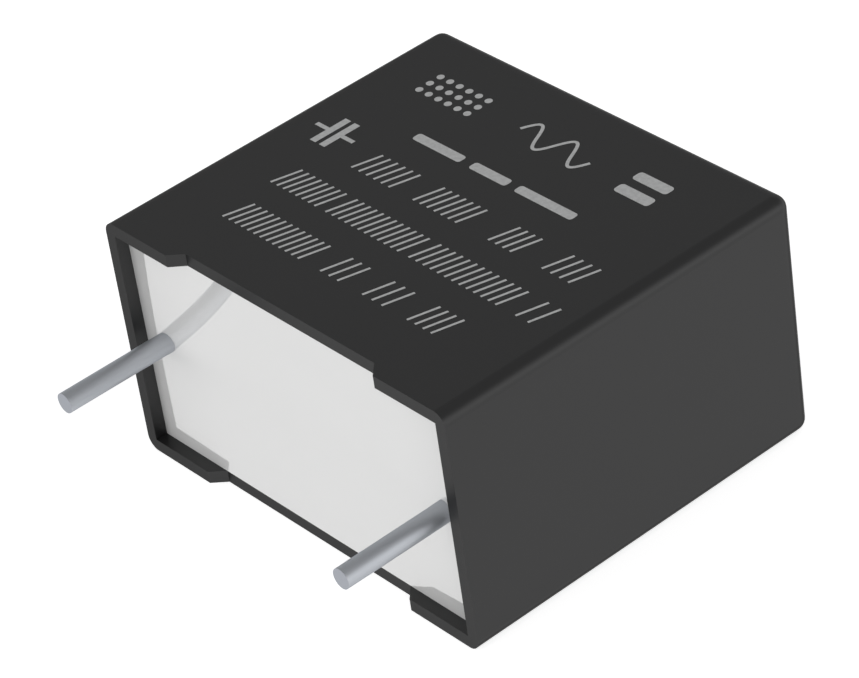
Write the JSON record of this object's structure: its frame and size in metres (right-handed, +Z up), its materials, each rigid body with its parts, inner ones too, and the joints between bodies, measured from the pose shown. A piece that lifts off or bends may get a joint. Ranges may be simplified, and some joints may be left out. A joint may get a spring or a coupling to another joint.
{
  "type": "box film capacitor",
  "caption": "Rectangular moulded case, filled with glossy pale potting resin at its open side, with low standoff feet on the rim and straight round leads for a circuit board.",
  "frame": {"origin": "centre of the plain large face that it rests on", "axes": "+X along the case from the left lead to the right lead, -Y the way the leads point, +Z up to the other large face"},
  "size_m": [0.018, 0.02, 0.01],
  "materials": {
    "case_plastic": "satin black moulded plastic with a fine grain",
    "potting_resin": "very glossy, opaque pale grey resin with a slightly dished face",
    "metallised_film": "glossy wound film",
    "sprayed_metal": "rough sprayed zinc and tin",
    "tinned_wire": "satin tin plating"
  },
  "bodies": {
    "root": {"case": "case_plastic", "resin_fill": "potting_resin", "film_winding": "metallised_film", "end_spray_left": "sprayed_metal", "end_spray_right": "sprayed_metal", "lead_left": "tinned_wire", "lead_right": "tinned_wire"}
  },
  "joints": []
}
